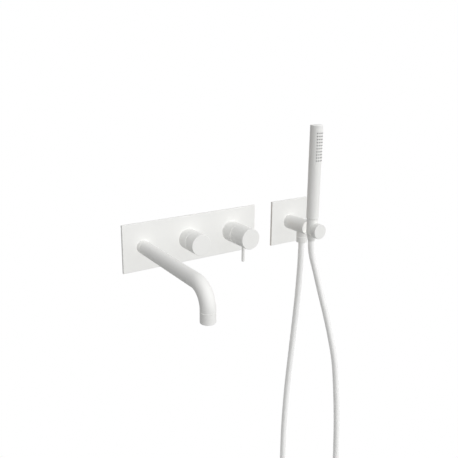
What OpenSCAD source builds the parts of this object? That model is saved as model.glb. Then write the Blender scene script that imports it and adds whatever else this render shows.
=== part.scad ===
// Wall mounted bath faucet: bath spout, two-way diverter, mixer and hand shower.
// Millimetres. The wall's face is the XZ plane, the room is on the -Y side, +Z is up.
// The origin is on the wall's face behind the middle of the main plate.

/* [Main plate] */
// Width of the main plate
plate_w = 305; // [300:1:370]
// Height of the main plate
plate_h = 95; // [80:1:120]
// Thickness of both plates
plate_t = 5; // [4:0.5:7]
// Bevel along the front edges of both plates
plate_bevel = 0.6; // [0.2:0.1:1.5]

/* [Spout] */
// Sideways place of the spout's axis
spout_x = -111; // [-130:1:-90]
// Outer diameter of the spout
spout_d = 26; // [25.5:0.5:32]
// Distance from the wall to the outlet's axis
spout_reach = 242; // [170:1:300]
// Drop from the spout's axis to the outlet's lower edge
spout_drop = 57; // [57:1:90]
// Centreline radius of the spout's bend
spout_bend_r = 36; // [28:1:36]
// Length of the ring at the spout's base
spout_base_l = 10; // [6:1:14]
// Height of the ring that holds the aerator
aerator_h = 18.5; // [16:0.5:20]

/* [Diverter] */
// Sideways place of the diverter's axis
diverter_x = -12; // [-20:1:0]
// Outer diameter of the diverter's collar and knob
diverter_d = 41.5; // [40.5:0.5:50]
// Length of the diverter's fixed collar
diverter_collar_l = 24; // [20:1:30]
// Length of the diverter's knob
diverter_knob_l = 28; // [23:1:34]

/* [Mixer] */
// Sideways place of the mixer's axis
mixer_x = 91; // [80:1:100]
// Outer diameter of the mixer's collar and handle
mixer_d = 42.5; // [41.5:0.5:51]
// Length of the mixer's fixed collar
mixer_collar_l = 28; // [23:1:34]
// Length of the mixer's handle
mixer_handle_l = 43; // [36:1:52]
// Diameter of the lever pin
lever_d = 6.5; // [5:0.5:8]
// Distance from the mixer's axis to the lever's tip
lever_reach = 54; // [40:1:70]

/* [Hand shower wall set] */
// Sideways place of the small plate and its arm
hand_x = 250; // [250:1:290]
// Height of the small plate's centre
hand_z = -2.5; // [-6:0.5:2]
// Side of the small square plate
hand_plate = 100; // [85:1:120]
// Diameter of the holder arm
arm_d = 32; // [32:0.5:38]
// Length of the holder arm, from its plate to its front face
arm_l = 100; // [92:1:114]
// Diameter of the hose outlet and its nut
outlet_d = 23; // [23:0.5:27]
// Length of the hose nut
hose_nut_l = 13; // [12:0.5:14]

/* [Hand shower] */
// Diameter of the hand shower's tube
wand_d = 26; // [26:0.5:31]
// Length of the hand shower's tube
wand_l = 198.5; // [170:0.5:240]
// Number of nozzle rows
nozzle_rows = 10; // [6:1:10]
// Distance between nozzle rows
nozzle_pitch = 6.3; // [5:0.1:6.3]
// Number of nozzle columns
nozzle_columns = 4; // [2:1:4]
// Diameter of the hose
hose_d = 13.5; // [13.5:0.1:13.5]

/* [Concealed body] */
// Depth of the mounting rail's back behind the wall's face
rail_depth = 57; // [55:1:68]
// Thickness of the mounting rail
rail_t = 3; // [2.5:0.5:4]
// Height of the mounting rail
rail_h = 44; // [36:1:52]
// Radius of the rail's four wall screw holes
wall_hole_r = 3.25; // [2.75:0.25:4]
// Distance between the two water inlets
inlet_spacing = 64; // [60:1:70]
// Depth of a water inlet's mouth below the mixer's axis
inlet_drop = 62; // [54:1:74]
// Outer diameter of the pipe to the hand shower
pipe_d = 15; // [12:0.5:16]

/* [Hidden] */
$fn = 96;

// Fits and small details
seam = 0.6;             // visible joint between two turned pieces
fit = 0.05;             // radial play of screwed and seated pieces, and of running stems
clear = 0.3;            // space between pieces that only pass each other
edge_r = 0.8;           // rounded rim of a turned piece
cut = 1;                // how far a cutting tool runs past a face
half_inch_r = 10.4;     // outside radius of the half inch pipe threads, drawn plain
lip = 3;                // depth of a collar's front lip
stem_r = 5;             // radius of both valve stems
collar_wall = 2.2;      // wall of a collar over its sleeve
sleeve_wall = 1.8;      // wall of a valve sleeve
grub_r = 2;             // radius of the knobs' set screws
grub_sunk = 1.5;        // depth of a knob's set screw under the knob's surface
waterway_r = 7;         // bore of the nipples, the inlet stubs and the handset's inlet
groove_r = 8.9;         // floor of a nipple's O-ring groove
groove_w = 2.2;         // width of a nipple's O-ring groove
groove_in = 2;          // from the nipple's tip to its O-ring groove
oring_r = 0.72;         // radius of an O-ring's section
gasket_w = 8;           // width of a plate's gasket
gasket_t = 1;           // thickness of a plate's gasket
gasket_inset = 7;       // from a plate's edge to its gasket

// Concealed body, as depths behind the wall's face
bar_back = rail_depth - rail_t;
bar_front = bar_back - 32;
boss_front = 10;
water_depth = bar_back - 16;
bore_bottom = bar_back - 4;
bar_h = 28;
bar_end = 19;           // bar beyond the outer inlet and the spout's boss centre
channel_r = 4.5;
hot_channel_z = -7;
mixed_channel_z = 5;
spout_boss_r = 15;
valve_wall = 6.5;       // wall of a valve's boss round its cartridge
outlet_boss_r = 11;
link_top = 26;          // height of the pipe sockets' mouths
link_socket = 8;        // depth of a pipe socket
pipe_nut_h = 10;
pipe_bend_r = 16;
pipe_wall = 1;
inlet_stub_r = 14;
inlet_thread_l = 18;
stub_screwed = 9;       // length of an inlet stub's upper thread
stub_thread_r = 10;     // radius of an inlet stub's upper thread
stub_hex_h = 12;
elbow_r = 15;
nipple_seat = water_depth + 2;
elbow_seat = water_depth - 6;
rail_end = 20;          // rail beyond the body at one end and the elbow at the other
rail_left = spout_x - bar_end - rail_end;
rail_right = hand_x + elbow_r + rail_end;
rail_hole_inset = 10;   // from the rail's edges to its wall screw holes
screw_r = 2;
screw_grip = 9;         // length of a body screw beyond the rail
screw_head_r = 4.4;
screw_head_h = 2.4;

// Spout
spout_r = spout_d / 2;
spout_bore_r = half_inch_r + fit;
spout_start = plate_t + spout_base_l + seam;
spout_nipple_tip = spout_start + 12;
spout_grub_r = 2.5;
spout_grub_out = spout_start + 7;
neck_wall = 1.4;        // wall of the aerator ring round the spout's narrow end
neck_r = spout_r - neck_wall + 0.3;
neck_l = 8.5;
outlet_top = -spout_drop + aerator_h;
aerator_t = 6;
aerator_lip = 2.5;
aerator_rim = 2;        // width of the lip and of the seal that hold the aerator
mesh_pitch = 3.2;       // distance between the rings of holes in the aerator

// Valves
diverter_r = diverter_d / 2;
mixer_r = mixer_d / 2;
diverter_joint = plate_t + diverter_collar_l;
mixer_joint = plate_t + mixer_collar_l;
diverter_face = diverter_joint + seam + diverter_knob_l;
mixer_face = mixer_joint + seam + mixer_handle_l;
diverter_cart_r = diverter_r - collar_wall - sleeve_wall - 0.75;
mixer_cart_r = mixer_r - collar_wall - sleeve_wall - 0.75;
lever_y = mixer_face - 26;
lever_seat = 12;        // height of the lever's inner end above the mixer's axis, taken down
knob_recess = 4;
knob_wall = 3;          // knob's wall round its recess
stem_in_knob = 16;
stem_foot = bore_bottom - 10;   // depth of a stem's inner end in its cartridge
cart_top = boss_front + 4;      // depth of a cartridge's shoulder
cart_neck_r = stem_r + 4.5;
cart_neck_tip = 2;
nut_top = boss_front - 5;       // depth of a cartridge nut's face
nut_slot = 5;
diverter_screw_out = diverter_joint + seam + stem_in_knob - 6;
mixer_screw_out = mixer_joint + seam + knob_recess + 5;

// Hand shower wall set
arm_r = arm_d / 2;
arm_face = plate_t + arm_l;
outlet_r = outlet_d / 2;
rest_y = arm_face - wand_d / 2 - 13;
arm_socket_l = 15;      // depth of the nipple in the holder arm
arm_bore_r = 6;         // waterway in the holder arm
outlet_y = 48;
outlet_boss = 24;       // from the arm's axis to the outlet boss's lower face
hose_nut_top = hand_z - outlet_boss - seam;
hose_nut_low = hose_nut_top - hose_nut_l + seam;
washer_t = 2;
ferrule_t = 2;
nut_floor = 3;
outlet_thread_r = half_inch_r - 0.3;
ferrule_bore_r = 4;
throat = 1.2;           // room on each side of the hose in the arm's slot
outlet_thread_low = hose_nut_low + nut_floor + ferrule_t + washer_t;

// Hand shower
wand_r = wand_d / 2;
wand_low = hand_z + arm_r + 7.5;
wand_top = wand_low + wand_l;
wand_bore_r = wand_r - 1.8;
neck_nut_r = wand_r - 1.3;
cone_top = hand_z - 8.5;
cone_low = hand_z - 25.5;
cone_tip_r = hose_d / 2 + 0.85;
ferrule_low = hand_z + 5;
foot_t = 1.9;           // floor of the hand shower's tube
foot_seat = 4;          // length of the inlet's thread inside the tube
inlet_top = 20;         // height of the inlet's upper end over the tube's foot
limiter_top = 5;
limiter_l = 7;
limiter_hole_at = 4;
tube_foot = 8;          // height of the water tube's lower end over the tube's foot
tube_r = 5;
tube_bore_r = 3.8;
chamber_floor = 3;
chamber_wall = 2;
strip_low = wand_top - 80;
strip_high = wand_top - 9;
strip_angle = 90;
strip_proud = 0.6;
nozzle_r = 1.25;
nozzle_bore_r = 0.45;
nozzle_fit = 0.02;
nozzle_proud = 0.5;
nozzle_step = 20;       // angle between two columns of nozzles
cap_h = 3.5;
cap_round = 1.6;        // rounding of the hand shower's two ends

// Route of the hose, from the wall outlet down round its loop and up to the hand shower.
// It is measured sideways and up from the axis of the holder arm, and out from the wall.
HOSE_ROUTE = [[0, -48, -34], [0, -48, -58], [1, -46, -98], [2, -42, -148], [2, -38, -198],
    [1, -33, -258], [-1, -29, -318], [-4, -25, -388], [-6, -22, -458], [-7, -20, -528],
    [-7, -20, -588], [-7, -20, -630], [-6, -21, -661], [-2, -28, -693], [11, -47, -716],
    [30, -73, -725], [49, -99, -716], [62, -118, -693], [66, -125, -661], [67, -126, -630],
    [67, -126, -588], [66, -125, -528], [64, -123, -458], [61, -119, -388], [56, -114, -318],
    [46, -108, -258], [34, -100, -198], [23, -92, -148], [12, -85, -98], [4, -80, -63],
    [0, -79, -38], [0, -79, -16], [0, -79, 5]];
HOSE_SIDE = [0.82, 0.57, 0];
hose_sides = 10;
hose_steps = 2;         // rings for each stretch of the route

// ---------- helpers ----------

// Puts children on the wall at (x, z), their +Z pointing out into the room.
module at_wall(x, z = 0) {
    translate([x, 0, z]) rotate([90, 0, 0]) children();
}

// A solid rod from one height to another.
module rod(r, from, to) {
    translate([0, 0, from]) cylinder(r = r, h = to - from);
}

// A pipe from one height to another.
module ring(r_out, r_in, from, to) {
    difference() {
        rod(r_out, from, to);
        rod(r_in, from - cut, to + cut);
    }
}

// A rod whose lower and upper rims are rounded by their own radii.
module soft_rod(r, from, to, low_r = 0, high_r = 0) {
    rotate_extrude() {
        translate([0, from + low_r]) square([r, to - from - low_r - high_r]);
        if (low_r > 0) {
            translate([0, from]) square([r - low_r, low_r + 0.01]);
            translate([r - low_r, from + low_r]) intersection() {
                circle(r = low_r);
                translate([0, -low_r]) square(low_r);
            }
        }
        if (high_r > 0) {
            translate([0, to - high_r - 0.01]) square([r - high_r, high_r + 0.01]);
            translate([r - high_r, to - high_r]) intersection() {
                circle(r = high_r);
                square(high_r);
            }
        }
    }
}

// A rectangular plate on the wall with a bevel along its front edges.
module bevelled_plate(w, h, t, bevel) {
    intersection() {
        rotate([90, 0, 90]) linear_extrude(height = w, center = true)
            polygon([[-h / 2, 0], [h / 2, 0], [h / 2, t - bevel], [h / 2 - bevel, t],
                [-h / 2 + bevel, t], [-h / 2, t - bevel]]);
        rotate([90, 0, 0]) linear_extrude(height = h, center = true)
            polygon([[-w / 2, 0], [w / 2, 0], [w / 2, t - bevel], [w / 2 - bevel, t],
                [-w / 2 + bevel, t], [-w / 2, t - bevel]]);
    }
}

// The frame-shaped gasket in the back of a plate, or its groove with some play.
module gasket_frame(w, h, play = 0) {
    outer = gasket_inset - play;
    inner = gasket_inset + gasket_w + play;
    difference() {
        translate([-w / 2 + outer, -h / 2 + outer, -play])
            cube([w - 2 * outer, h - 2 * outer, gasket_t + play]);
        translate([-w / 2 + inner, -h / 2 + inner, -cut])
            cube([w - 2 * inner, h - 2 * inner, gasket_t + 2 * cut]);
    }
}

// The nozzle places on the hand shower, each with its +Z pointing out of the tube.
module at_nozzles() {
    first_row = (strip_low + strip_high - (nozzle_rows - 1) * nozzle_pitch) / 2;
    for (row = [0 : nozzle_rows - 1])
        for (column = [0 : nozzle_columns - 1])
            translate([0, 0, first_row + row * nozzle_pitch])
                rotate([0, 0, (column - (nozzle_columns - 1) / 2) * nozzle_step])
                    rotate([90, 0, 0]) children();
}

// Puts children on the hand shower's axis.
module at_handset() {
    translate([hand_x, -rest_y, 0]) children();
}

// A stretch of the hand shower's wall, facing the room.
module front_sector(r_out, r_in, from, to, angle) {
    rotate([0, 0, -90 - angle / 2]) rotate_extrude(angle = angle)
        translate([r_in, from]) square([r_out - r_in, to - from]);
}

// One flat-headed screw through the rail into what it holds; its +Z points out of the wall.
module body_screw(play = 0) {
    rod(screw_r + play, -rail_depth - play, -bar_back + screw_grip);
    translate([0, 0, -rail_depth])
        cylinder(r1 = screw_head_r + play, r2 = screw_r + play, h = screw_head_h);
}

// The places of the body screws, on the wall.
module at_body_screws() {
    for (x = [(spout_x + diverter_x) / 2, (diverter_x + mixer_x) / 2, hand_x])
        at_wall(x, x == hand_x ? hand_z : 0) children();
}

// ---------- plates ----------

module main_plate() {
    color("white") at_wall(0) difference() {
        bevelled_plate(plate_w, plate_h, plate_t, plate_bevel);
        gasket_frame(plate_w, plate_h, fit);
        translate([spout_x, 0]) rod(half_inch_r + 0.8, -cut, plate_t + cut);
        translate([diverter_x, 0]) rod(diverter_r - collar_wall + fit, -cut, plate_t + cut);
        translate([mixer_x, 0]) rod(mixer_r - collar_wall + fit, -cut, plate_t + cut);
    }
}

module main_plate_gasket() {
    color("dimgray") at_wall(0) gasket_frame(plate_w, plate_h);
}

module small_plate() {
    color("white") at_wall(hand_x, hand_z) difference() {
        bevelled_plate(hand_plate, hand_plate, plate_t, plate_bevel);
        gasket_frame(hand_plate, hand_plate, fit);
        rod(half_inch_r + 0.8, -cut, plate_t + cut);
    }
}

module small_plate_gasket() {
    color("dimgray") at_wall(hand_x, hand_z) gasket_frame(hand_plate, hand_plate);
}

// ---------- spout ----------

module spout_base_ring() {
    color("white") at_wall(spout_x)
        ring(spout_r, half_inch_r + fit, plate_t, plate_t + spout_base_l);
}

// The spout's centreline swept with a radius, out to the bend and down to a height.
module spout_sweep(r, from, low) {
    bend_start = spout_reach - spout_bend_r;
    at_wall(spout_x) rod(r, from, bend_start);
    translate([spout_x, -bend_start, -spout_bend_r]) rotate([90, 0, -90])
        rotate_extrude(angle = 90) translate([spout_bend_r, 0]) circle(r = r);
    translate([spout_x, -spout_reach, low]) cylinder(r = r, h = -spout_bend_r - low);
}

module spout_tube() {
    color("white") difference() {
        union() {
            spout_sweep(spout_r, spout_start, outlet_top + seam);
            translate([spout_x, -spout_reach, outlet_top - neck_l])
                cylinder(r = neck_r, h = neck_l + seam + 0.01);
        }
        spout_sweep(spout_bore_r, spout_start - cut, outlet_top - neck_l - cut);
        translate([spout_x, -spout_grub_out, -spout_r - cut])
            cylinder(r = spout_grub_r + fit, h = spout_r);
    }
}

// A threaded nipple with a groove for its O-ring near its tip.
module nipple(from, tip) {
    difference() {
        ring(half_inch_r, waterway_r, from, tip);
        ring(half_inch_r + cut, groove_r, tip - groove_in - groove_w, tip - groove_in);
    }
}

// The O-ring in a nipple's groove.
module nipple_oring(tip) {
    translate([0, 0, tip - groove_in - groove_w / 2]) rotate_extrude()
        translate([(groove_r + half_inch_r) / 2, 0]) circle(r = oring_r);
}

module spout_nipple() {
    color("gold") at_wall(spout_x) nipple(-nipple_seat + 4, spout_nipple_tip);
}

module spout_oring() {
    color("black") at_wall(spout_x) nipple_oring(spout_nipple_tip);
}

module spout_grub_screw() {
    color("silver") translate([spout_x, -spout_grub_out, -spout_r + clear])
        cylinder(r = spout_grub_r, h = spout_r - half_inch_r - clear);
}

module aerator_ring() {
    color("white") translate([spout_x, -spout_reach, 0]) difference() {
        soft_rod(spout_r, -spout_drop, outlet_top, edge_r, 0);
        rod(neck_r + fit, -spout_drop + aerator_lip, outlet_top + cut);
        rod(neck_r - aerator_rim, -spout_drop - cut, -spout_drop + aerator_lip + cut);
    }
}

module aerator_cartridge() {
    color("gainsboro") translate([spout_x, -spout_reach, -spout_drop + aerator_lip]) difference() {
        rod(neck_r, 0, aerator_t);
        for (around = [0 : 2], hole = [0 : max(0, 6 * around - 1)])
            rotate([0, 0, 60 * hole / max(1, around)]) translate([mesh_pitch * around, 0])
                rod(mesh_pitch * 0.4, -cut, aerator_t + cut, $fn = 6);
    }
}

module aerator_seal() {
    color("black") translate([spout_x, -spout_reach, 0])
        ring(neck_r, neck_r - aerator_rim, -spout_drop + aerator_lip + aerator_t, outlet_top - neck_l);
}

// ---------- valves ----------

// A fixed collar over a valve's sleeve, with a lip behind its knob.
module valve_collar(r, joint) {
    difference() {
        rod(r, plate_t, joint);
        rod(r - collar_wall + fit, plate_t - cut, joint - lip);
        rod(r / 2, joint - lip - cut, joint + cut);
    }
}

// The threaded sleeve that stands on the valve's boss and carries its collar.
module valve_sleeve(r, joint) {
    ring(r - collar_wall, r - collar_wall - sleeve_wall, -boss_front, joint - lip - 2);
}

// A cartridge in its bore, with a hole for its stem.
module valve_cartridge(r) {
    difference() {
        union() {
            rod(r, -bore_bottom, -cart_top);
            rod(cart_neck_r, -cart_top - 0.01, cart_neck_tip);
        }
        rod(stem_r + fit, -stem_foot, cart_neck_tip + cut);
    }
}

// The ring nut that holds a cartridge in its bore.
module valve_nut(r) {
    difference() {
        rod(r, -cart_top, -nut_top);
        rod(cart_neck_r + fit, -cart_top - cut, -nut_top + cut);
        for (turn = [0 : 90 : 270])
            rotate([0, 0, turn]) translate([r, 0, -nut_top]) cube(nut_slot, center = true);
    }
}

// A stem from inside its cartridge into its knob.
module valve_stem(joint) {
    rod(stem_r, -stem_foot + clear, joint + seam + stem_in_knob);
}

// A knob with a recess behind and a hole for its stem.
module valve_knob(r, joint, face) {
    difference() {
        soft_rod(r, joint + seam, face, 0.3, edge_r);
        rod(r - knob_wall, joint + seam - cut, joint + seam + knob_recess);
        rod(stem_r + fit / 2, joint, joint + seam + stem_in_knob + clear);
    }
}

// A set screw, or its hole, from a knob's underside to its stem.
module set_screw(r, out, play = 0) {
    low = play > 0 ? -r - cut : -r + grub_sunk;
    translate([0, -out, low]) cylinder(r = grub_r + play, h = -low - stem_r - (play > 0 ? 0 : fit));
}

module diverter_collar() {
    color("white") at_wall(diverter_x) valve_collar(diverter_r, diverter_joint);
}

module diverter_sleeve() {
    color("gold") at_wall(diverter_x) valve_sleeve(diverter_r, diverter_joint);
}

module diverter_cartridge() {
    color("lightgray") at_wall(diverter_x) valve_cartridge(diverter_cart_r);
}

module diverter_cartridge_nut() {
    color("gold") at_wall(diverter_x) valve_nut(diverter_cart_r);
}

module diverter_spindle() {
    color("gold") at_wall(diverter_x) valve_stem(diverter_joint);
}

module diverter_knob() {
    color("white") difference() {
        at_wall(diverter_x) valve_knob(diverter_r, diverter_joint, diverter_face);
        translate([diverter_x, 0, 0]) set_screw(diverter_r, diverter_screw_out, fit);
    }
}

module diverter_grub_screw() {
    color("silver") translate([diverter_x, 0, 0]) set_screw(diverter_r, diverter_screw_out);
}

module mixer_collar() {
    color("white") at_wall(mixer_x) valve_collar(mixer_r, mixer_joint);
}

module mixer_sleeve() {
    color("gold") at_wall(mixer_x) valve_sleeve(mixer_r, mixer_joint);
}

module mixer_cartridge() {
    color("lightgray") at_wall(mixer_x) valve_cartridge(mixer_cart_r);
}

module mixer_cartridge_nut() {
    color("gold") at_wall(mixer_x) valve_nut(mixer_cart_r);
}

module mixer_spindle() {
    color("gold") at_wall(mixer_x) valve_stem(mixer_joint);
}

module mixer_handle() {
    color("white") difference() {
        at_wall(mixer_x) valve_knob(mixer_r, mixer_joint, mixer_face);
        translate([mixer_x, 0, 0]) set_screw(mixer_r, mixer_screw_out, fit);
        translate([mixer_x, -lever_y, -mixer_r - cut])
            cylinder(r = lever_d / 2 + fit, h = mixer_r + cut - lever_seat);
    }
}

module mixer_lever() {
    color("white") translate([mixer_x, -lever_y, 0])
        soft_rod(lever_d / 2, -lever_reach, -lever_seat, 1.2, 0);
}

module mixer_grub_screw() {
    color("silver") translate([mixer_x, 0, 0]) set_screw(mixer_r, mixer_screw_out);
}

// ---------- concealed body ----------

// A sideways rod at a depth and a height, from one x to another.
module cross_rod(r, x_from, x_to, depth, z) {
    translate([x_from, depth, z]) rotate([0, 90, 0]) cylinder(r = r, h = x_to - x_from);
}

// The socket for the shower pipe: a boss with a bore, up to the link's height.
module pipe_socket_boss(x, z) {
    translate([x, water_depth, z]) cylinder(r = outlet_boss_r, h = link_top - z);
}

module pipe_socket_bore(x, z) {
    translate([x, water_depth, z]) cylinder(r = channel_r, h = link_top - z);
    translate([x, water_depth, link_top - link_socket])
        cylinder(r = pipe_d / 2 + fit, h = link_socket + cut);
}

module valve_body() {
    left = spout_x - bar_end;
    right = mixer_x + inlet_spacing / 2 + bar_end;
    color("gold") difference() {
        union() {
            translate([left, bar_front, -bar_h / 2]) cube([right - left, bar_back - bar_front, bar_h]);
            at_wall(spout_x) rod(spout_boss_r, -bar_back, -boss_front);
            at_wall(diverter_x) rod(diverter_cart_r + valve_wall, -bar_back, -boss_front);
            at_wall(mixer_x) rod(mixer_cart_r + valve_wall, -bar_back, -boss_front);
            pipe_socket_boss(diverter_x, 0);
        }
        at_wall(spout_x) rod(half_inch_r + fit, -nipple_seat, -boss_front + cut);
        at_wall(diverter_x) rod(diverter_cart_r + fit, -bore_bottom, -boss_front + cut);
        at_wall(mixer_x) rod(mixer_cart_r + fit, -bore_bottom, -boss_front + cut);
        cross_rod(channel_r, spout_x, mixer_x, water_depth, mixed_channel_z);
        cross_rod(channel_r, mixer_x - inlet_spacing / 2, mixer_x + inlet_spacing / 2,
            water_depth, hot_channel_z);
        pipe_socket_bore(diverter_x, 0);
        for (side = [-1, 1])
            translate([mixer_x + side * inlet_spacing / 2, water_depth, -bar_h / 2]) {
                rod(stub_thread_r, -cut, stub_screwed);
                rod(inlet_stub_r + fit, -mixer_cart_r - valve_wall, 0);
            }
        at_body_screws() body_screw(fit);
    }
}

// A water inlet: a hexagon stub screwed into the body, open downwards.
module inlet_stub(x) {
    low = -inlet_drop;
    high = -bar_h / 2;
    translate([x, water_depth, 0]) difference() {
        union() {
            rod(inlet_stub_r, low, high - stub_hex_h);
            translate([0, 0, high - stub_hex_h]) cylinder(r = inlet_stub_r, h = stub_hex_h, $fn = 6);
            rod(stub_thread_r - fit, high - 0.01, high + stub_screwed);
        }
        rod(half_inch_r, low - cut, low + inlet_thread_l);
        rod(waterway_r, low, high + stub_screwed + cut);
    }
}

module hot_inlet_stub() {
    color("gold") inlet_stub(mixer_x - inlet_spacing / 2);
}

module cold_inlet_stub() {
    color("gold") inlet_stub(mixer_x + inlet_spacing / 2);
}

module body_rail() {
    color("silver") difference() {
        translate([rail_left, bar_back, -rail_h / 2]) cube([rail_right - rail_left, rail_t, rail_h]);
        for (x = [rail_left + rail_hole_inset, rail_right - rail_hole_inset], side = [-1, 1])
            at_wall(x, side * (rail_h / 2 - rail_hole_inset))
                rod(wall_hole_r, -rail_depth - cut, -bar_back + cut);
        at_body_screws() body_screw(fit);
    }
}

module body_screws() {
    color("dimgray") at_body_screws() body_screw();
}

// The pipe's path with a radius, socket to socket.
module pipe_path(r, extra = 0) {
    run_z = link_top + pipe_nut_h + 2 + pipe_bend_r;
    bend_low = run_z - pipe_bend_r;
    for (x = [diverter_x, hand_x])
        translate([x, water_depth, link_top - link_socket - extra])
            cylinder(r = r, h = bend_low - link_top + link_socket + extra);
    translate([diverter_x + pipe_bend_r, water_depth, bend_low]) rotate([90, 0, 0])
        rotate([0, 0, 90]) rotate_extrude(angle = 90) translate([pipe_bend_r, 0]) circle(r = r);
    translate([hand_x - pipe_bend_r, water_depth, bend_low]) rotate([90, 0, 0])
        rotate_extrude(angle = 90) translate([pipe_bend_r, 0]) circle(r = r);
    cross_rod(r, diverter_x + pipe_bend_r, hand_x - pipe_bend_r, water_depth, run_z);
}

module shower_pipe() {
    color("peru") difference() {
        pipe_path(pipe_d / 2);
        pipe_path(pipe_d / 2 - pipe_wall, cut);
    }
}

module pipe_nuts() {
    color("gold") for (x = [diverter_x, hand_x])
        translate([x, water_depth, 0]) difference() {
            translate([0, 0, link_top]) cylinder(r = outlet_boss_r + 2, h = pipe_nut_h, $fn = 6);
            rod(pipe_d / 2 + fit, link_top - cut, link_top + pipe_nut_h + cut);
        }
}

module wall_elbow() {
    color("gold") difference() {
        union() {
            at_wall(hand_x, hand_z) rod(elbow_r, -bar_back, -boss_front);
            pipe_socket_boss(hand_x, hand_z);
        }
        at_wall(hand_x, hand_z) rod(half_inch_r + fit, -nipple_seat, -boss_front + cut);
        pipe_socket_bore(hand_x, hand_z);
        at_body_screws() body_screw(fit);
    }
}

module elbow_nipple() {
    color("gold") at_wall(hand_x, hand_z) nipple(-elbow_seat, plate_t + arm_socket_l);
}

module elbow_oring() {
    color("black") at_wall(hand_x, hand_z) nipple_oring(plate_t + arm_socket_l);
}

// ---------- holder and hose ----------

module holder_arm() {
    seat_r = neck_nut_r + clear;
    color("white") difference() {
        union() {
            at_wall(hand_x, hand_z) soft_rod(arm_r, plate_t, arm_face, 0, edge_r);
            translate([hand_x, -outlet_y, hand_z - outlet_boss])
                cylinder(r = outlet_r, h = outlet_boss);
            translate([hand_x, -outlet_y, outlet_thread_low])
                cylinder(r = outlet_thread_r, h = hand_z - outlet_thread_low);
        }
        at_wall(hand_x, hand_z) rod(half_inch_r + fit, plate_t - cut, plate_t + arm_socket_l);
        at_wall(hand_x, hand_z) rod(arm_bore_r, plate_t + arm_socket_l - cut, outlet_y);
        translate([hand_x, -outlet_y, hand_z]) sphere(r = arm_bore_r);
        translate([hand_x, -outlet_y, outlet_thread_low - cut])
            cylinder(r = arm_bore_r, h = hand_z - outlet_thread_low + cut);
        at_handset() {
            rod(seat_r, cone_top, hand_z + arm_r + cut);
            translate([0, 0, cone_low])
                cylinder(r1 = cone_tip_r + clear, r2 = seat_r, h = cone_top - cone_low);
            translate([-arm_r - cut, -seat_r, cone_top]) cube([arm_r + cut, 2 * seat_r, 2 * arm_r]);
            translate([-arm_r - cut, -hose_d / 2 - throat, hand_z - arm_r - cut])
                cube([arm_r + cut, hose_d + 2 * throat, 2 * arm_r]);
        }
    }
}

module hose_nut_wall() {
    color("white") translate([hand_x, -outlet_y, 0]) difference() {
        soft_rod(outlet_r, hose_nut_low, hose_nut_top, 1.2, 0);
        rod(outlet_thread_r + fit, hose_nut_low + nut_floor, hose_nut_top + cut);
        rod(hose_d / 2 + clear, hose_nut_low - cut, hose_nut_low + nut_floor + cut);
    }
}

module hose_ferrule_wall() {
    color("gold") translate([hand_x, -outlet_y, 0])
        ring(outlet_thread_r - fit, ferrule_bore_r, hose_nut_low + nut_floor, outlet_thread_low - washer_t);
}

module hose_washer_wall() {
    color("black") translate([hand_x, -outlet_y, 0])
        ring(outlet_thread_r - fit, arm_bore_r, outlet_thread_low - washer_t, outlet_thread_low);
}

function unit(v) = v / norm(v);

// A point on the smooth curve through the route, at stretch i and share t of it.
function on_route(points, i, t) =
    let (last = len(points) - 1,
        a = points[max(i - 1, 0)],
        b = points[i],
        c = points[min(i + 1, last)],
        d = points[min(i + 2, last)])
    0.5 * (2 * b + (c - a) * t + (2 * a - 5 * b + 4 * c - d) * t * t
        + (3 * b - a - 3 * c + d) * t * t * t);

function smooth_route(points, steps) = [
    for (i = [0 : len(points) - 2], s = [0 : steps - 1]) on_route(points, i, s / steps),
    points[len(points) - 1]];

// The direction of a path at one of its points; its two ends are straight up and down.
function heading(path, i) =
    i == 0 ? [0, 0, -1]
    : i == len(path) - 1 ? [0, 0, 1]
    : unit(path[i + 1] - path[i - 1]);

// One ring of the hose's surface.
function hose_ring(path, i, r, sides) =
    let (t = heading(path, i),
        a = unit(HOSE_SIDE - (HOSE_SIDE * t) * t),
        b = cross(t, a))
    [for (k = [0 : sides - 1]) path[i] + r * (a * cos(360 * k / sides) + b * sin(360 * k / sides))];

// A closed tube along a path.
module swept_tube(path, r, sides) {
    rings = len(path);
    points = [for (i = [0 : rings - 1]) each hose_ring(path, i, r, sides)];
    walls = [for (i = [0 : rings - 2], k = [0 : sides - 1])
        [i * sides + k, (i + 1) * sides + k, (i + 1) * sides + (k + 1) % sides, i * sides + (k + 1) % sides]];
    caps = [[for (k = [0 : sides - 1]) k], [for (k = [sides - 1 : -1 : 0]) (rings - 1) * sides + k]];
    polyhedron(points = points, faces = concat(walls, caps), convexity = 6);
}

module shower_hose() {
    color("whitesmoke") translate([hand_x, 0, hand_z])
        swept_tube(smooth_route(HOSE_ROUTE, hose_steps), hose_d / 2, hose_sides);
}

module hose_ferrule_handset() {
    color("gold") at_handset()
        ring(outlet_thread_r, ferrule_bore_r, ferrule_low, ferrule_low + ferrule_t);
}

// ---------- hand shower ----------

module hose_washer_handset() {
    color("black") at_handset()
        ring(outlet_thread_r, arm_bore_r, ferrule_low + ferrule_t, ferrule_low + ferrule_t + washer_t);
}

module hose_cone_nut() {
    color("white") at_handset() difference() {
        union() {
            rod(neck_nut_r, cone_top, wand_low - seam);
            translate([0, 0, cone_low]) cylinder(r1 = cone_tip_r, r2 = neck_nut_r, h = cone_top - cone_low);
        }
        rod(half_inch_r, ferrule_low, wand_low);
        rod(hose_d / 2 + clear, cone_low - cut, ferrule_low + cut);
    }
}

module handset_inlet() {
    color("gold") at_handset() difference() {
        union() {
            rod(half_inch_r - fit, ferrule_low + ferrule_t + washer_t, wand_low + foot_seat);
            rod(wand_bore_r - fit, wand_low + foot_t, wand_low + inlet_top);
        }
        rod(waterway_r, ferrule_low, wand_low + tube_foot);
        rod(tube_r + fit, wand_low + tube_foot - cut, wand_low + inlet_top + cut);
    }
}

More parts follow.
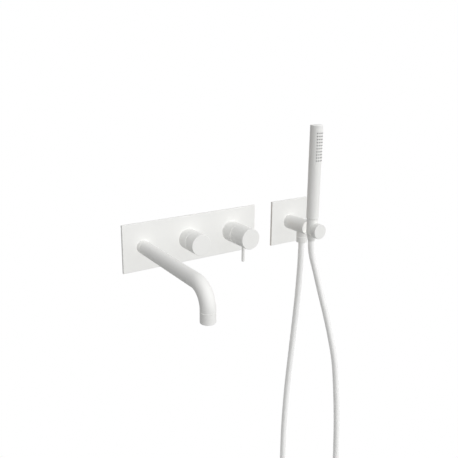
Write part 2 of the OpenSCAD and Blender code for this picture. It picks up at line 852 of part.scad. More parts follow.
module flow_limiter() {
    color("green") at_handset() difference() {
        rod(waterway_r - fit, wand_low + limiter_top - limiter_l, wand_low + limiter_top);
        for (turn = [0 : 60 : 300])
            rotate([0, 0, turn]) translate([limiter_hole_at, 0, 0])
                rod(1.2, wand_low - limiter_l, wand_low + limiter_top + cut, $fn = 6);
    }
}

module handset_tube() {
    color("white") at_handset() difference() {
        soft_rod(wand_r, wand_low, wand_top - cap_h, cap_round, 0);
        rod(wand_bore_r, wand_low + foot_t, wand_top);
        rod(half_inch_r + fit, wand_low - cut, wand_low + foot_t + cut);
        front_sector(wand_r + cut, wand_bore_r - cut, strip_low - fit, strip_high + fit, strip_angle + 1);
    }
}

module handset_end_cap() {
    color("white") at_handset() {
        soft_rod(wand_r, wand_top - cap_h, wand_top, 0, cap_round);
        rod(wand_bore_r - fit, strip_high + seam, wand_top - cap_h + 0.01);
    }
}

module water_tube() {
    color("silver") at_handset()
        ring(tube_r, tube_bore_r, wand_low + tube_foot, strip_low + chamber_floor - chamber_wall);
}

module spray_chamber() {
    color("lightgray") at_handset() difference() {
        rod(wand_bore_r - fit, strip_low - chamber_wall, strip_high);
        rod(wand_bore_r - chamber_wall, strip_low + chamber_floor, strip_high + cut);
        rod(tube_r + fit, strip_low - chamber_floor, strip_low + chamber_floor + cut);
        front_sector(wand_r, wand_bore_r - 2 * chamber_wall, strip_low + chamber_floor,
            strip_high - chamber_floor, strip_angle - nozzle_step);
    }
}

module nozzle_strip() {
    color("white") at_handset() difference() {
        front_sector(wand_r + strip_proud, wand_bore_r + fit, strip_low, strip_high, strip_angle);
        at_nozzles() rod(nozzle_r, 0, wand_r + strip_proud + cut, $fn = 8);
    }
}

module spray_nozzles() {
    color("dimgray") at_handset() at_nozzles() difference() {
        rod(nozzle_r - nozzle_fit, wand_bore_r + clear, wand_r + strip_proud + nozzle_proud, $fn = 8);
        rod(nozzle_bore_r, wand_bore_r, wand_r + strip_proud + nozzle_proud + cut, $fn = 6);
    }
}

main_plate();
main_plate_gasket();
spout_base_ring();
spout_tube();
spout_nipple();
spout_oring();
spout_grub_screw();
aerator_ring();
aerator_cartridge();
aerator_seal();
diverter_collar();
diverter_sleeve();
diverter_cartridge();
diverter_cartridge_nut();
diverter_spindle();
diverter_knob();
diverter_grub_screw();
mixer_collar();
mixer_sleeve();
mixer_cartridge();
mixer_cartridge_nut();
mixer_spindle();
mixer_handle();
mixer_lever();
mixer_grub_screw();
valve_body();
hot_inlet_stub();
cold_inlet_stub();
body_rail();
body_screws();
shower_pipe();
pipe_nuts();
wall_elbow();
elbow_nipple();
elbow_oring();
small_plate();
small_plate_gasket();
holder_arm();
hose_nut_wall();
hose_washer_wall();
hose_ferrule_wall();
shower_hose();
hose_ferrule_handset();
hose_washer_handset();
hose_cone_nut();
handset_inlet();
flow_limiter();
handset_tube();
handset_end_cap();
water_tube();
spray_chamber();
nozzle_strip();
spray_nozzles();
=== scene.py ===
"""A wall mounted bath faucet, matt white: bath spout, diverter and mixer on one plate, and a
stick hand shower that stands in its holder beside them, with its hose hanging in a loop.

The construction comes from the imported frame. This script gives each piece its finish, models the
hose and the spray nozzles, and adds the wall, the floor, the lamp and the camera. Metres.
"""

import logging
import math
from dataclasses import dataclass
from enum import Enum
from typing import Callable

import bpy
from mathutils import Matrix, Vector


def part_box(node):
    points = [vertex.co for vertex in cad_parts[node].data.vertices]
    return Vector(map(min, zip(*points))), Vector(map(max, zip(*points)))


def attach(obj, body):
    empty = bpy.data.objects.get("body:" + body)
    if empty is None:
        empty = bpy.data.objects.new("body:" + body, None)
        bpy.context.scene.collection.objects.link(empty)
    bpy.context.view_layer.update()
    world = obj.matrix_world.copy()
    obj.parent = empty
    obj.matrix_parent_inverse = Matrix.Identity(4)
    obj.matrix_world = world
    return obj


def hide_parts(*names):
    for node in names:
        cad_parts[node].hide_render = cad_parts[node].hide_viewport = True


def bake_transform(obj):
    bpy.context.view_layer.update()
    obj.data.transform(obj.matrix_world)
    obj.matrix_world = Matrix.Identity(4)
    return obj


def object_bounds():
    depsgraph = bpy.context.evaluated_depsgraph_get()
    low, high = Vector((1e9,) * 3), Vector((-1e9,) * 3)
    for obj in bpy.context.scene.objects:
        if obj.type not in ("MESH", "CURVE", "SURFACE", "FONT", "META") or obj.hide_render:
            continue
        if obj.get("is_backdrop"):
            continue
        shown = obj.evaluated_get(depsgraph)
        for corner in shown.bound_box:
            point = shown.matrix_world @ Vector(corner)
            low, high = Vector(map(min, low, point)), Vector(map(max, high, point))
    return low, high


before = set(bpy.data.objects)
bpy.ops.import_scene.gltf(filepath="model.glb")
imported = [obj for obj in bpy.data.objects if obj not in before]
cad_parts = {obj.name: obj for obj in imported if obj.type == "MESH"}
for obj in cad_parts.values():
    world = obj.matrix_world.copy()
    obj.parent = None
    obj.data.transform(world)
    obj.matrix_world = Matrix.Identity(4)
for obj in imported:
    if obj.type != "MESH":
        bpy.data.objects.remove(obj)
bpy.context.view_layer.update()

LOG = logging.getLogger("faucet")
MM = 0.001

# The Mix node's two colour inputs and its colour output, which share their names with others.
FIRST_COLOUR, SECOND_COLOUR, MIXED_COLOUR = 6, 7, 2

NodeSocket = bpy.types.NodeSocket
NodeTree = bpy.types.NodeTree
Object = bpy.types.Object
Material = bpy.types.Material


# ---------- small tools ----------


def linear(colour: str) -> tuple[float, float, float, float]:
    """Turns an sRGB hex colour into the linear colour that shaders take.

    Args:
        colour: Six hex digits after a hash, such as "#F0F0EE".

    Returns:
        Red, green, blue and an alpha of 1.
    """
    channels = [int(colour[i : i + 2], 16) / 255 for i in (1, 3, 5)]
    straight = [c / 12.92 if c <= 0.04045 else ((c + 0.055) / 1.055) ** 2.4 for c in channels]
    return (straight[0], straight[1], straight[2], 1.0)


def add_node(
    tree: NodeTree,
    kind: str,
    values: dict[str | int, object] | None = None,
    links: dict[str | int, NodeSocket] | None = None,
    **settings: object,
) -> bpy.types.Node:
    """Adds one node with its settings, its fixed inputs and its links.

    Args:
        tree: The node tree that the node joins.
        kind: The node's type name without its "ShaderNode" prefix.
        values: Input name or number to its fixed value.
        links: Input name or number to the output socket that feeds it.
        **settings: Properties of the node itself.

    Returns:
        The new node.
    """
    node = tree.nodes.new("ShaderNode" + kind)
    for name, value in settings.items():
        setattr(node, name, value)
    for key, value in (values or {}).items():
        node.inputs[key].default_value = value
    for key, socket in (links or {}).items():
        tree.links.new(socket, node.inputs[key])
    return node


def new_tree(owner: Material | bpy.types.World) -> NodeTree:
    """Empties a material's or world's node tree and returns it."""
    owner.use_nodes = True
    owner.node_tree.nodes.clear()
    return owner.node_tree


def deselect() -> None:
    """Leaves edit mode and deselects every object."""
    if bpy.context.object and bpy.context.object.mode != "OBJECT":
        bpy.ops.object.mode_set(mode="OBJECT")
    bpy.ops.object.select_all(action="DESELECT")


def make_active(piece: Object) -> None:
    """Selects one object alone and makes it active."""
    deselect()
    piece.select_set(True)
    bpy.context.view_layer.objects.active = piece


def pick_faces(piece: Object, wanted: Callable[[bpy.types.MeshPolygon], bool]) -> None:
    """Selects in edit mode the faces for which a test is true.

    Args:
        piece: The mesh object, already active.
        wanted: The test, which reads a face's centre or normal.
    """
    bpy.ops.object.mode_set(mode="EDIT")
    bpy.ops.mesh.select_mode(type="FACE")
    bpy.ops.mesh.select_all(action="DESELECT")
    bpy.ops.object.mode_set(mode="OBJECT")
    for face in piece.data.polygons:
        face.select = wanted(face)
    bpy.ops.object.mode_set(mode="EDIT")


def middle(node: str) -> Vector:
    """The centre of a CAD node's box."""
    low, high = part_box(node)
    return (low + high) / 2


# ---------- finishes ----------


class Grain(Enum):
    """How a surface was made, which sets the pattern of its fine relief."""

    PEEL = "orange peel of a sprayed and baked coat"
    CAST = "sand cast skin"
    TURNED = "rings left by a lathe tool"
    BRUSHED = "strokes along the length of a sheet"
    DRAWN = "lines along a drawn tube"
    MOULDED = "fine spark-eroded mould texture"
    CELLS = "closed foam cells"


# How much each grain is stretched along X, Y and Z.
STRETCH = {
    Grain.PEEL: (1.0, 1.0, 1.0),
    Grain.CAST: (1.0, 1.0, 1.0),
    Grain.TURNED: (0.04, 1.0, 0.04),
    Grain.BRUSHED: (0.03, 1.0, 1.0),
    Grain.DRAWN: (0.04, 1.0, 1.0),
    Grain.MOULDED: (1.0, 1.0, 1.0),
    Grain.CELLS: (1.0, 1.0, 1.0),
}


@dataclass(frozen=True)
class Finish:
    """A material made in shader nodes from what the real surface is.

    Attributes:
        name: The material's common name and how its surface was made.
        colour: Its sRGB colour.
        shade: The second colour that the first drifts to over a few centimetres.
        roughness: How far it scatters a reflection.
        grain: How the surface was made.
        grain_mm: Size of one grain.
        relief_mm: Height of the grain.
        metallic: 1 for bare metal.
        ior: Index of refraction of a finish that isn't metal.
        specular: Strength of its plain reflection.
        drift_mm: Size of the patches in which the colour drifts.
        uneven: How much the roughness varies with the grain.
    """

    name: str
    colour: str
    shade: str
    roughness: float
    grain: Grain
    grain_mm: float
    relief_mm: float
    metallic: float = 0.0
    ior: float = 1.5
    specular: float = 0.5
    drift_mm: float = 45.0
    uneven: float = 0.06

    def pattern(self, tree: NodeTree) -> NodeSocket:
        """Adds the grain's height pattern on object coordinates and returns its output."""
        place = add_node(tree, "TexCoord").outputs["Object"]
        stretched = add_node(
            tree, "Mapping", {"Scale": STRETCH[self.grain]}, {"Vector": place}
        ).outputs["Vector"]
        scale = 1 / (self.grain_mm * MM)
        if self.grain is Grain.CELLS:
            return add_node(
                tree, "TexVoronoi", {"Scale": scale}, {"Vector": stretched}
            ).outputs["Distance"]
        detail = {"Scale": scale, "Detail": 3.0, "Roughness": 0.5}
        return add_node(tree, "TexNoise", detail, {"Vector": stretched}).outputs["Fac"]

    def drift(self, tree: NodeTree) -> NodeSocket:
        """Adds the slow drift between the finish's two colours and returns its output."""
        place = add_node(tree, "TexCoord").outputs["Object"]
        patches = add_node(
            tree,
            "TexNoise",
            {"Scale": 1 / (self.drift_mm * MM), "Detail": 2.0},
            {"Vector": place},
        ).outputs["Fac"]
        mix = add_node(tree, "Mix", links={"Factor": patches}, data_type="RGBA")
        mix.inputs[FIRST_COLOUR].default_value = linear(self.colour)
        mix.inputs[SECOND_COLOUR].default_value = linear(self.shade)
        return mix.outputs[MIXED_COLOUR]

    def make(self) -> Material:
        """Builds the material.

        Returns:
            A material whose colour, roughness and relief all come from nodes.
        """
        material = bpy.data.materials.new(self.name)
        tree = new_tree(material)
        height = self.pattern(tree)
        rough = add_node(
            tree,
            "MapRange",
            {"To Min": self.roughness - self.uneven, "To Max": self.roughness + self.uneven},
            {"Value": height},
        ).outputs["Result"]
        bump = add_node(
            tree,
            "Bump",
            {"Strength": 1.0, "Distance": self.relief_mm * MM},
            {"Height": height},
        ).outputs["Normal"]
        shader = add_node(
            tree,
            "BsdfPrincipled",
            {"Metallic": self.metallic, "IOR": self.ior, "Specular IOR Level": self.specular},
            {"Base Color": self.drift(tree), "Roughness": rough, "Normal": bump},
        )
        add_node(tree, "OutputMaterial", links={"Surface": shader.outputs["BSDF"]})
        return material


# Matt white powder coat: sprayed dry and baked, a soft sheen over a faint orange peel.
POWDER_COAT = Finish("white_powder_coat", "#F0F0EE", "#EEEEEC", 0.52, Grain.PEEL, 2.6, 0.010,
                     specular=0.25)
# The spray face's plastic: the same white, a little smoother than the coat round it.
WHITE_PLASTIC = Finish("white_moulded_plastic", "#F0F0EE", "#EEEEEC", 0.42, Grain.MOULDED, 0.8,
                       0.004, ior=1.46, specular=0.4)
# Cast brass: a dull, sandy skin that tarnishes in patches.
CAST_BRASS = Finish("cast_brass", "#C9A866", "#B4904F", 0.42, Grain.CAST, 1.4, 0.06, metallic=1.0)
# Turned brass: brighter, with the fine rings of the tool.
TURNED_BRASS = Finish("turned_brass", "#D8B870", "#C8A45C", 0.28, Grain.TURNED, 0.5, 0.008,
                      metallic=1.0)
# Nickel plated brass, grey where it shows in the seam under the hand shower.
PLATED_BRASS = Finish("nickel_plated_brass", "#A5A4A0", "#999894", 0.34, Grain.TURNED, 0.5, 0.006,
                      metallic=1.0)
# Drawn copper tube: pink brown, with lines along it and a slight bloom.
COPPER = Finish("drawn_copper", "#C98B66", "#B3714E", 0.30, Grain.DRAWN, 0.6, 0.008, metallic=1.0)
# Rolled stainless sheet, brushed along its length.
STAINLESS = Finish("brushed_stainless", "#B9BABC", "#A9AAAD", 0.34, Grain.BRUSHED, 0.6, 0.010,
                   metallic=1.0)
# Zinc plated screws.
PLATED_STEEL = Finish("plated_steel", "#A7A9AB", "#97999B", 0.30, Grain.TURNED, 0.4, 0.006,
                      metallic=1.0)
# Nitrile rubber of the seals: black, dull.
NITRILE = Finish("moulded_nitrile", "#1D1D1E", "#242425", 0.62, Grain.MOULDED, 0.6, 0.006,
                 ior=1.52, specular=0.4)
# Silicone of the nozzles: soft, nearly black grey, a satin skin.
SILICONE = Finish("moulded_silicone", "#333537", "#2E3032", 0.45, Grain.MOULDED, 0.5, 0.004,
                  ior=1.41)
# Acetal of the cartridges and the spray chamber: off white, slightly waxy.
ACETAL = Finish("moulded_acetal", "#D4D4D0", "#CACAC5", 0.38, Grain.MOULDED, 0.7, 0.005, ior=1.48)
# Coloured acetal of the flow limiter.
GREEN_ACETAL = Finish("moulded_green_acetal", "#2E8B57", "#287A4C", 0.36, Grain.MOULDED, 0.7, 0.005,
                      ior=1.48)
# Closed cell foam of the plates' gaskets.
FOAM = Finish("closed_cell_foam", "#2B2B2C", "#343435", 0.80, Grain.CELLS, 0.9, 0.08, specular=0.2)

# Which CAD nodes take which finish. Nodes that are modelled anew below aren't here.
FINISHES: dict[Finish, tuple[str, ...]] = {
    POWDER_COAT: (
        "main_plate", "small_plate", "spout_base_ring", "spout_tube", "aerator_ring",
        "diverter_collar", "diverter_knob", "mixer_collar", "mixer_handle", "mixer_lever",
        "holder_arm", "hose_nut_wall", "hose_cone_nut", "handset_tube", "handset_end_cap",
    ),
    WHITE_PLASTIC: ("nozzle_strip",),
    CAST_BRASS: ("valve_body", "wall_elbow"),
    TURNED_BRASS: (
        "spout_nipple", "diverter_sleeve", "diverter_cartridge_nut", "diverter_spindle",
        "mixer_sleeve", "mixer_cartridge_nut", "mixer_spindle", "hot_inlet_stub",
        "cold_inlet_stub", "pipe_nuts", "elbow_nipple", "hose_ferrule_wall",
        "hose_ferrule_handset",
    ),
    PLATED_BRASS: ("handset_inlet",),
    COPPER: ("shower_pipe",),
    STAINLESS: ("body_rail",),
    PLATED_STEEL: ("body_screws", "spout_grub_screw", "diverter_grub_screw", "mixer_grub_screw"),
    NITRILE: (
        "spout_oring", "elbow_oring", "aerator_seal", "hose_washer_wall", "hose_washer_handset",
    ),
    ACETAL: (
        "aerator_cartridge", "diverter_cartridge", "mixer_cartridge", "spray_chamber", "water_tube",
    ),
    GREEN_ACETAL: ("flow_limiter",),
    FOAM: ("main_plate_gasket", "small_plate_gasket"),
}


def dress_cad_nodes() -> None:
    """Gives every CAD node that stays visible its finish."""
    for finish, nodes in FINISHES.items():
        material = finish.make()
        for name in nodes:
            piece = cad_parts[name]
            piece.data.materials.clear()
            piece.data.materials.append(material)
            LOG.info("%s: %s", name, finish.name)


# ---------- hose ----------


@dataclass
class ShowerHose:
    """The hose from the wall outlet down round its loop and up into the hand shower.

    Attributes:
        diameter: Its outer diameter.
        length: The standard length of such a hose. Not used.
        sides: Points round the hose.
        steps: Rings for each stretch of the route.
        rib: Distance between the turns of the spiral that shows through its skin.
        rib_height: How far a turn stands out.
        rib_shading: Height of the turns that its finish adds to that.
        seam_side: The side from which each ring of points is counted.
        crease: Edges bent by more than this angle, in degrees, stay sharp.
        sag: Slope, in degrees, of the direction in which the strand starts to follow. Not used.
        follow_from: Distance out in that direction at which the strand still hangs still. Not used.
        follow_all: Distance at which it moves fully with the hand shower. Not used.
        colours: Its skin between the turns and on them.
    """

    diameter: float = 13.5 * MM
    length: float = 1.5
    sides: int = 24
    steps: int = 18
    rib: float = 3.0 * MM
    rib_height: float = 0.06 * MM
    rib_shading: float = 0.03 * MM
    seam_side: tuple[float, float, float] = (0.82, 0.57, 0.0)
    crease: float = 50.0
    sag: float = 10.0
    follow_from: float = 0.041
    follow_all: float = 0.078
    colours: tuple[str, str] = ("#F8F8F7", "#FCFCFB")

    # Sideways and up from the holder arm's axis, and out from the wall, in millimetres.
    ROUTE = (
        (0, -48, -34), (0, -48, -58), (1, -46, -98), (2, -42, -148), (2, -38, -198),
        (1, -33, -258), (-1, -29, -318), (-4, -25, -388), (-6, -22, -458), (-7, -20, -528),
        (-7, -20, -588), (-7, -20, -630), (-6, -21, -661), (-2, -28, -693), (11, -47, -716),
        (30, -73, -725), (49, -99, -716), (62, -118, -693), (66, -125, -661), (67, -126, -630),
        (67, -126, -588), (66, -125, -528), (64, -123, -458), (61, -119, -388),
        (56, -114, -318), (46, -108, -258), (34, -100, -198), (23, -92, -148), (12, -85, -98),
        (4, -80, -63), (0, -79, -38), (0, -79, -16), (0, -79, 5),
    )

    def centreline(self) -> list[Vector]:
        """The smooth curve through the route's points, closely spaced.

        Returns:
            Points in metres in the frame, from the wall outlet to the hand shower.
        """
        arm = middle("small_plate")
        points = [Vector((x * MM + arm.x, y * MM, z * MM + arm.z)) for x, y, z in self.ROUTE]
        last = len(points) - 1
        line = []
        for i in range(last):
            a, b = points[max(i - 1, 0)], points[i]
            c, d = points[i + 1], points[min(i + 2, last)]
            for step in range(self.steps):
                t = step / self.steps
                line.append(
                    0.5
                    * (
                        2 * b
                        + (c - a) * t
                        + (2 * a - 5 * b + 4 * c - d) * t**2
                        + (3 * b - a - 3 * c + d) * t**3
                    )
                )
        line.append(points[last])
        return line

    def build(self) -> Object:
        """Returns:
            The hose, a closed mesh tube whose UV map runs round it and along it.
        """
        line = self.centreline()
        along = [0.0]
        for before, after in zip(line, line[1:]):
            along.append(along[-1] + (after - before).length)
        side = Vector(self.seam_side)
        verts: list[Vector] = []
        for i, point in enumerate(line):
            if i == 0:
                heading = Vector((0, 0, -1))
            elif i == len(line) - 1:
                heading = Vector((0, 0, 1))
            else:
                heading = (line[i + 1] - line[i - 1]).normalized()
            across = (side - side.dot(heading) * heading).normalized()
            up = heading.cross(across)
            for k in range(self.sides):
                turn = math.tau * k / self.sides
                wave = math.cos(math.tau * along[i] / self.rib - turn)
                radius = self.diameter / 2 - self.rib_height * (1 - wave) / 2
                verts.append(point + radius * (across * math.cos(turn) + up * math.sin(turn)))
        rings = len(line)
        faces = [
            (i * self.sides + k, (i + 1) * self.sides + k,
             (i + 1) * self.sides + (k + 1) % self.sides, i * self.sides + (k + 1) % self.sides)
            for i in range(rings - 1)
            for k in range(self.sides)
        ]
        faces.append(tuple(range(self.sides)))
        faces.append(tuple((rings - 1) * self.sides + k for k in reversed(range(self.sides))))
        mesh = bpy.data.meshes.new("shower_hose_skin")
        mesh.from_pydata(verts, [], faces)
        hose = bpy.data.objects.new("shower_hose_skin", mesh)
        bpy.context.scene.collection.objects.link(hose)
        self.unwrap(mesh, along, rings)
        make_active(hose)
        bpy.ops.object.mode_set(mode="EDIT")
        bpy.ops.mesh.select_all(action="SELECT")
        bpy.ops.mesh.normals_make_consistent(inside=False)
        bpy.ops.object.mode_set(mode="OBJECT")
        bpy.ops.object.shade_smooth_by_angle(angle=math.radians(self.crease))
        mesh.materials.append(self.finish())
        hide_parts("shower_hose")
        self.follow(hose)
        LOG.info("shower hose: %.3f m", along[-1])
        return hose

    def unwrap(self, mesh: bpy.types.Mesh, along: list[float], rings: int) -> None:
        """Writes the hose's UV map: U is the share of a turn, V the metres along it.

        Args:
            mesh: The hose's mesh, whose wall faces come first and ring by ring.
            along: Metres along the centreline at each ring.
            rings: How many rings the tube has.
        """
        layer = mesh.uv_layers.new(name="along")
        for face in mesh.polygons[: (rings - 1) * self.sides]:
            ring, k = divmod(face.index, self.sides)
            corners = {
                ring * self.sides + k: (k, ring),
                (ring + 1) * self.sides + k: (k, ring + 1),
                (ring + 1) * self.sides + (k + 1) % self.sides: (k + 1, ring + 1),
                ring * self.sides + (k + 1) % self.sides: (k + 1, ring),
            }
            for loop in face.loop_indices:
                u, v = corners[mesh.loops[loop].vertex_index]
                layer.data[loop].uv = (u / self.sides, along[v])

    def follow(self, hose: Object) -> None:
        """Bakes the hose's place into its mesh."""
        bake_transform(hose)

    def finish(self) -> Material:
        """Glossy white PVC skin, extruded over a spiral whose turns show as faint bands."""
        material = bpy.data.materials.new("extruded_white_pvc")
        tree = new_tree(material)
        place = add_node(tree, "UVMap", uv_map="along").outputs["UV"]
        parts = add_node(tree, "SeparateXYZ", links={"Vector": place})
        turns = add_node(
            tree, "Math", {1: 1 / self.rib}, {0: parts.outputs["Y"]}, operation="MULTIPLY"
        ).outputs["Value"]
        phase = add_node(
            tree, "Math", links={0: turns, 1: parts.outputs["X"]}, operation="SUBTRACT"
        ).outputs["Value"]
        angle = add_node(
            tree, "Math", {1: math.tau}, {0: phase}, operation="MULTIPLY"
        ).outputs["Value"]
        band = add_node(tree, "Math", links={0: angle}, operation="COSINE").outputs["Value"]
        tone = add_node(
            tree, "MapRange", {"From Min": -1.0, "From Max": 1.0}, {"Value": band}
        ).outputs["Result"]
        mix = add_node(tree, "Mix", links={"Factor": tone}, data_type="RGBA")
        mix.inputs[FIRST_COLOUR].default_value = linear(self.colours[0])
        mix.inputs[SECOND_COLOUR].default_value = linear(self.colours[1])
        bump = add_node(
            tree, "Bump", {"Strength": 1.0, "Distance": self.rib_shading}, {"Height": tone}
        ).outputs["Normal"]
        shader = add_node(
            tree,
            "BsdfPrincipled",
            {"Roughness": 0.22, "IOR": 1.53, "Coat Weight": 0.4, "Coat Roughness": 0.08},
            {"Base Color": mix.outputs[MIXED_COLOUR], "Normal": bump},
        )
        add_node(tree, "OutputMaterial", links={"Surface": shader.outputs["BSDF"]})
        return material


# ---------- spray nozzles ----------


@dataclass
class SprayNozzles:
    """The soft silicone nozzles that stand in rows through the hand shower's spray face.

    Attributes:
        rows: Rows along the hand shower.
        columns: Nozzles in a row.
        spread: Angle between two columns, in degrees.
        foot: Radius of a nozzle where it leaves the face.
        tip: Radius of its rim.
        bore: Radius of its water hole.
        sides: Points round a nozzle.
        rim_round: How far its rim is rounded.
        bore_depth: How deep its water hole is modelled.
        buried: Its length from the rim down to its hidden foot.
        level: Faces within this distance of the rim's height count as the rim.
        crease: Edges bent by more than this angle, in degrees, stay sharp.
    """

    rows: int = 10
    columns: int = 4
    spread: float = 20.0
    foot: float = 1.23 * MM
    tip: float = 1.05 * MM
    bore: float = 0.42 * MM
    sides: int = 12
    rim_round: float = 0.16 * MM
    bore_depth: float = 0.9 * MM
    buried: float = 2.6 * MM
    level: float = 0.01 * MM
    crease: float = 40.0

    def one(self, inner: float, outer: float) -> Object:
        """Models one nozzle on the X axis: a tapered stub with a rounded rim and a water hole.

        Args:
            inner: Distance of its hidden foot from the hand shower's axis.
            outer: Distance of its rim from that axis.

        Returns:
            The nozzle, pointing along +X.
        """
        deselect()
        bpy.ops.mesh.primitive_cone_add(
            vertices=self.sides, radius1=self.foot, radius2=self.tip, depth=outer - inner,
            location=((inner + outer) / 2, 0, 0), rotation=(0, math.radians(90), 0),
        )
        nozzle = bpy.context.object
        bpy.ops.object.transform_apply(location=True, rotation=True, scale=True)
        rim = outer - self.level
        pick_faces(nozzle, lambda face: face.center.x > rim)
        bpy.ops.mesh.bevel(offset=self.rim_round, segments=2, affect="EDGES")
        bpy.ops.object.mode_set(mode="OBJECT")
        pick_faces(nozzle, lambda face: face.center.x > rim and face.normal.x > 0.99)
        bpy.ops.mesh.inset(thickness=self.tip - self.rim_round - self.bore, depth=0)
        bpy.ops.mesh.extrude_region_move(
            TRANSFORM_OT_translate={"value": (-self.bore_depth, 0, 0)}
        )
        bpy.ops.object.mode_set(mode="OBJECT")
        bpy.ops.object.shade_smooth_by_angle(angle=math.radians(self.crease))
        return nozzle

    def build(self) -> Object:
        """Sets the nozzles out in rows and joins them.

        Returns:
            All the nozzles as one piece, in place.
        """
        low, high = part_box("spray_nozzles")
        axis = middle("handset_tube")
        first, last = low.z + self.foot, high.z - self.foot
        outer = axis.y - low.y
        pattern = self.one(outer - self.buried, outer)
        copies = []
        for row in range(self.rows):
            height = first + (last - first) * row / (self.rows - 1)
            for column in range(self.columns):
                turn = math.radians(-90 + (column - (self.columns - 1) / 2) * self.spread)
                copy = bpy.data.objects.new(f"nozzle_{row}_{column}", pattern.data.copy())
                place = Matrix.Translation((axis.x, axis.y, height)) @ Matrix.Rotation(turn, 4, "Z")
                copy.data.transform(place)
                bpy.context.scene.collection.objects.link(copy)
                copies.append(copy)
        bpy.data.objects.remove(pattern)
        make_active(copies[0])
        for copy in copies:
            copy.select_set(True)
        bpy.ops.object.join()
        nozzles = bpy.context.object
        nozzles.name = "silicone_nozzles"
        nozzles.data.materials.clear()
        nozzles.data.materials.append(SILICONE.make())
        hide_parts("spray_nozzles")
        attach(nozzles, "handset")
        LOG.info("spray nozzles: %d", self.rows * self.columns)
        return nozzles


# ---------- room, light and camera ----------


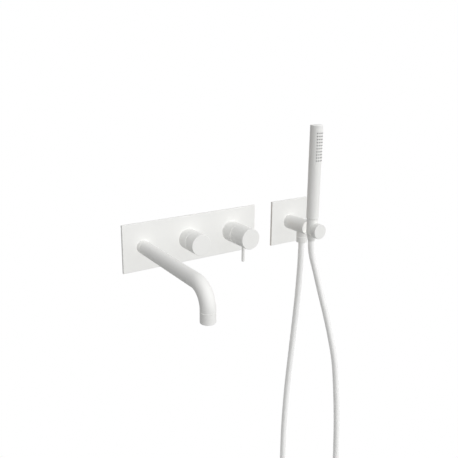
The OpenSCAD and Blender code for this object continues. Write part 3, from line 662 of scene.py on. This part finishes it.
@dataclass
class Room:
    """The white wall that the faucet hangs on, the pale floor below it, and the light.

    Attributes:
        wall_size: Width and height of the wall.
        floor_drop: How far the floor lies under the lowest point of the hose.
        ambient: Strength of the even light from all round.
        key: Strength of the lamp in front of the faucet and above it.
        key_place: The direction in which that lamp stands, seen from the faucet.
        key_spread: The angle that it fills, in degrees.
        wall_gap: How far the wall's sheet stands off the plane of the finished wall.
    """

    wall_size: float = 9.0
    floor_drop: float = 0.27
    ambient: float = 0.41
    key: float = 2.2
    key_place: tuple[float, float, float] = (0.17, -0.57, 0.43)
    key_spread: float = 70.0
    wall_gap: float = 0.2 * MM

    def build(self) -> None:
        """Makes the wall, the floor, the lamp and the world."""
        self.wall()
        self.floor()
        self.lamp("key", self.key, Vector(self.key_place), self.key_spread)
        self.sky()
        LOG.info("room, lamp and world")

    def seen(self, tree: NodeTree) -> NodeSocket:
        """Adds a value that is 1 for the camera, for reflections and through glass."""
        path = add_node(tree, "LightPath")
        either = add_node(
            tree,
            "Math",
            links={0: path.outputs["Is Camera Ray"], 1: path.outputs["Is Glossy Ray"]},
            operation="MAXIMUM",
        )
        return add_node(
            tree,
            "Math",
            links={0: either.outputs["Value"], 1: path.outputs["Is Transmission Ray"]},
            operation="MAXIMUM",
        ).outputs["Value"]

    def wall(self) -> None:
        """A wall that shows plain white from the room and nothing from behind."""
        deselect()
        bpy.ops.mesh.primitive_plane_add(
            size=self.wall_size,
            location=(0, self.wall_gap, 0),
            rotation=(math.radians(90), 0, 0),
        )
        wall = bpy.context.object
        wall.name = "room_wall"
        material = bpy.data.materials.new("painted_wall")
        tree = new_tree(material)
        white = add_node(tree, "Emission", {"Color": (1, 1, 1, 1), "Strength": 1.0})
        clear = add_node(tree, "BsdfTransparent")
        front = add_node(
            tree,
            "Math",
            {0: 1.0},
            {1: add_node(tree, "NewGeometry").outputs["Backfacing"]},
            operation="SUBTRACT",
        )
        shown = add_node(
            tree,
            "Math",
            links={0: front.outputs["Value"], 1: self.seen(tree)},
            operation="MULTIPLY",
        )
        mix = add_node(
            tree,
            "MixShader",
            links={0: shown.outputs["Value"], 1: clear.outputs[0], 2: white.outputs[0]},
        )
        add_node(tree, "OutputMaterial", links={"Surface": mix.outputs[0]})
        wall.data.materials.append(material)
        wall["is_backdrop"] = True

    def floor(self) -> None:
        """A pale floor some way below the hose's loop."""
        deselect()
        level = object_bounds()[0][2] - self.floor_drop
        bpy.ops.mesh.primitive_plane_add(size=self.wall_size, location=(0, 0, level))
        floor = bpy.context.object
        floor.name = "room_floor"
        material = bpy.data.materials.new("pale_floor")
        tree = new_tree(material)
        pale = add_node(tree, "BsdfDiffuse", {"Color": linear("#F2F2F0")})
        dim = add_node(tree, "BsdfDiffuse", {"Color": linear("#ABABAA")})
        mix = add_node(
            tree, "MixShader", links={0: self.seen(tree), 1: dim.outputs[0], 2: pale.outputs[0]}
        )
        add_node(tree, "OutputMaterial", links={"Surface": mix.outputs[0]})
        floor.data.materials.append(material)
        floor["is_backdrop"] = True

    def lamp(self, name: str, strength: float, towards: Vector, spread: float) -> None:
        """Adds a far, wide lamp whose own shadow is switched off.

        Args:
            name: The lamp's name.
            strength: Its light on a surface that faces it.
            towards: The direction in which it stands, seen from the faucet.
            spread: The angle that it fills, in degrees.
        """
        data = bpy.data.lights.new(name, "SUN")
        data.energy = strength
        data.angle = math.radians(spread)
        data.use_shadow = False
        lamp = bpy.data.objects.new(name, data)
        lamp.rotation_euler = towards.to_track_quat("Z", "Y").to_euler()
        bpy.context.scene.collection.objects.link(lamp)

    def sky(self) -> None:
        """An even light from all round, which shows as white."""
        world = bpy.data.worlds.new("studio")
        tree = new_tree(world)
        dim = add_node(tree, "Background", {"Color": (1, 1, 1, 1), "Strength": self.ambient})
        white = add_node(tree, "Background", {"Color": (1, 1, 1, 1), "Strength": 1.0})
        mix = add_node(
            tree,
            "MixShader",
            links={0: self.seen(tree), 1: dim.outputs[0], 2: white.outputs[0]},
        )
        add_node(tree, "OutputWorld", links={"Surface": mix.outputs[0]})
        bpy.context.scene.world = world


@dataclass
class StudioCamera:
    """The camera, which looks down on the faucet from the room's left.

    Attributes:
        azimuth: How far it looks to the right of straight at the wall, in degrees.
        elevation: How far it looks down, in degrees.
        distance: From the point it looks at.
        target: That point, on the wall's face.
        lens: Its focal length in millimetres on a 36 mm frame.
        shift: How far the frame is shifted sideways and up, as shares of its width.
    """

    azimuth: float = 31.8
    elevation: float = 13.5
    distance: float = 1.075
    target: tuple[float, float, float] = (0.044, 0.0, 0.068)
    lens: float = 41.5
    shift: tuple[float, float] = (0.04, -0.06)

    def build(self) -> None:
        """Makes the camera and sets it as the scene's camera."""
        turn, tilt = math.radians(self.azimuth), math.radians(self.elevation)
        forward = Vector((
            math.sin(turn) * math.cos(tilt), math.cos(turn) * math.cos(tilt), -math.sin(tilt)
        ))
        data = bpy.data.cameras.new("studio_camera")
        data.lens = self.lens
        data.shift_x, data.shift_y = self.shift
        data.dof.use_dof = False
        camera = bpy.data.objects.new("studio_camera", data)
        camera.location = Vector(self.target) - forward * self.distance
        camera.rotation_euler = forward.to_track_quat("-Z", "Y").to_euler()
        bpy.context.scene.collection.objects.link(camera)
        bpy.context.scene.camera = camera
        LOG.info("camera at %s", tuple(round(c, 3) for c in camera.location))


def main() -> None:
    """Builds the scene in order."""
    logging.basicConfig(level=logging.INFO, format="%(name)s: %(message)s")
    bpy.context.scene.view_settings.view_transform = "Standard"
    StudioCamera().build()
    ShowerHose().build()
    dress_cad_nodes()
    SprayNozzles().build()
    Room().build()


if __name__ == "__main__":
    main()
